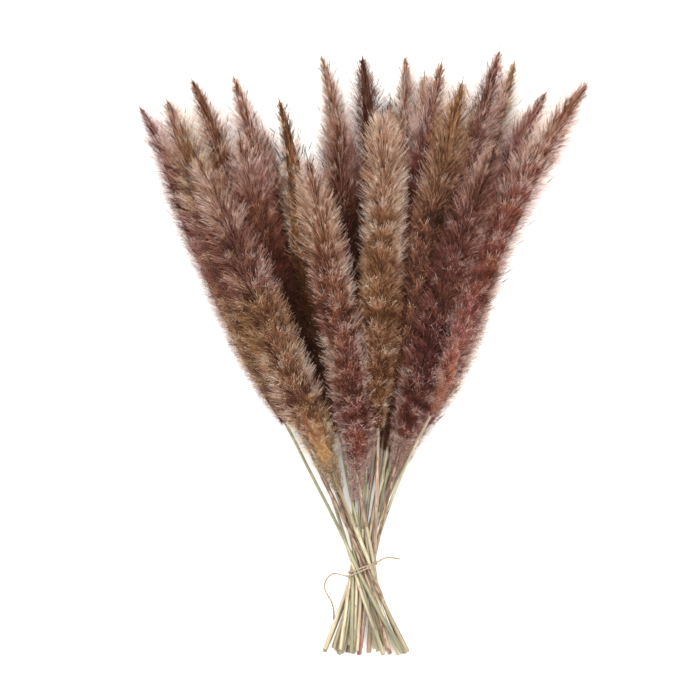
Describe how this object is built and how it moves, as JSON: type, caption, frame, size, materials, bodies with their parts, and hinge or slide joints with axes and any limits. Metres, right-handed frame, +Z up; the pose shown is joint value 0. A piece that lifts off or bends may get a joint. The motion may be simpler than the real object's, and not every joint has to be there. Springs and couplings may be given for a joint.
{
  "type": "bundle of pampas grass",
  "caption": "Bundle of dried pampas grass with fluffy red-brown plumes on cut stems, tied with jute twine and lying on its side.",
  "frame": {"origin": "middle of the bundle's box without the loose twine ends, on the surface it lies on", "axes": "+Y along the bundle from the cut ends to the plume tips, +Z up from the surface, +X to the right seen from above with the tips away"},
  "size_m": [0.3284, 0.4516, 0.0955],
  "materials": {
    "stem_straw": "dry, smooth straw with a faint gloss",
    "stem_pale": "dry, bleached straw",
    "stem_green": "dry straw that stayed green",
    "stem_russet": "dry straw with red-brown blotches",
    "stem_pink": "dry straw with a pink cut end",
    "plume_fawn": "soft matt fluff",
    "plume_rust": "soft matt fluff",
    "plume_umber": "soft matt fluff",
    "plume_plum": "soft matt fluff",
    "plume_ochre": "soft matt fluff",
    "jute": "hairy two-ply jute"
  },
  "bodies": {
    "root": {"stem_01": "stem_green", "stem_02": "stem_straw", "stem_03": "stem_russet", "stem_04": "stem_straw", "stem_05": "stem_pale", "stem_06": "stem_straw", "stem_07": "stem_green", "stem_08": "stem_pale", "stem_09": "stem_straw", "stem_10": "stem_green", "stem_11": "stem_straw", "stem_12": "stem_pale", "stem_13": "stem_straw", "stem_14": "stem_green", "stem_15": "stem_pink", "stem_16": "stem_straw", "stem_17": "stem_pale", "stem_18": "stem_straw", "stem_19": "stem_green", "stem_20": "stem_straw", "stem_21": "stem_pale", "stem_22": "stem_russet", "stem_23": "stem_straw", "stem_24": "stem_pink", "stem_25": "stem_straw", "stem_26": "stem_green", "stem_27": "stem_straw", "stem_28": "stem_straw", "plume_01": "plume_plum", "plume_02": "plume_fawn", "plume_03": "plume_rust", "plume_04": "plume_rust", "plume_05": "plume_rust", "plume_06": "plume_fawn", "plume_07": "plume_ochre", "plume_08": "plume_rust", "plume_09": "plume_umber", "plume_10": "plume_fawn", "plume_11": "plume_plum", "plume_12": "plume_ochre", "plume_13": "plume_fawn", "plume_14": "plume_fawn", "plume_15": "plume_rust", "plume_16": "plume_ochre", "plume_17": "plume_plum", "plume_18": "plume_fawn", "plume_19": "plume_fawn", "plume_20": "plume_plum", "plume_21": "plume_rust", "plume_22": "plume_umber", "plume_23": "plume_plum", "plume_24": "plume_plum", "plume_25": "plume_plum", "plume_26": "plume_umber", "plume_27": "plume_ochre", "plume_28": "plume_umber", "twine_wrap": "jute", "twine_tail_left": "jute", "twine_tail_right": "jute"}
  },
  "joints": []
}
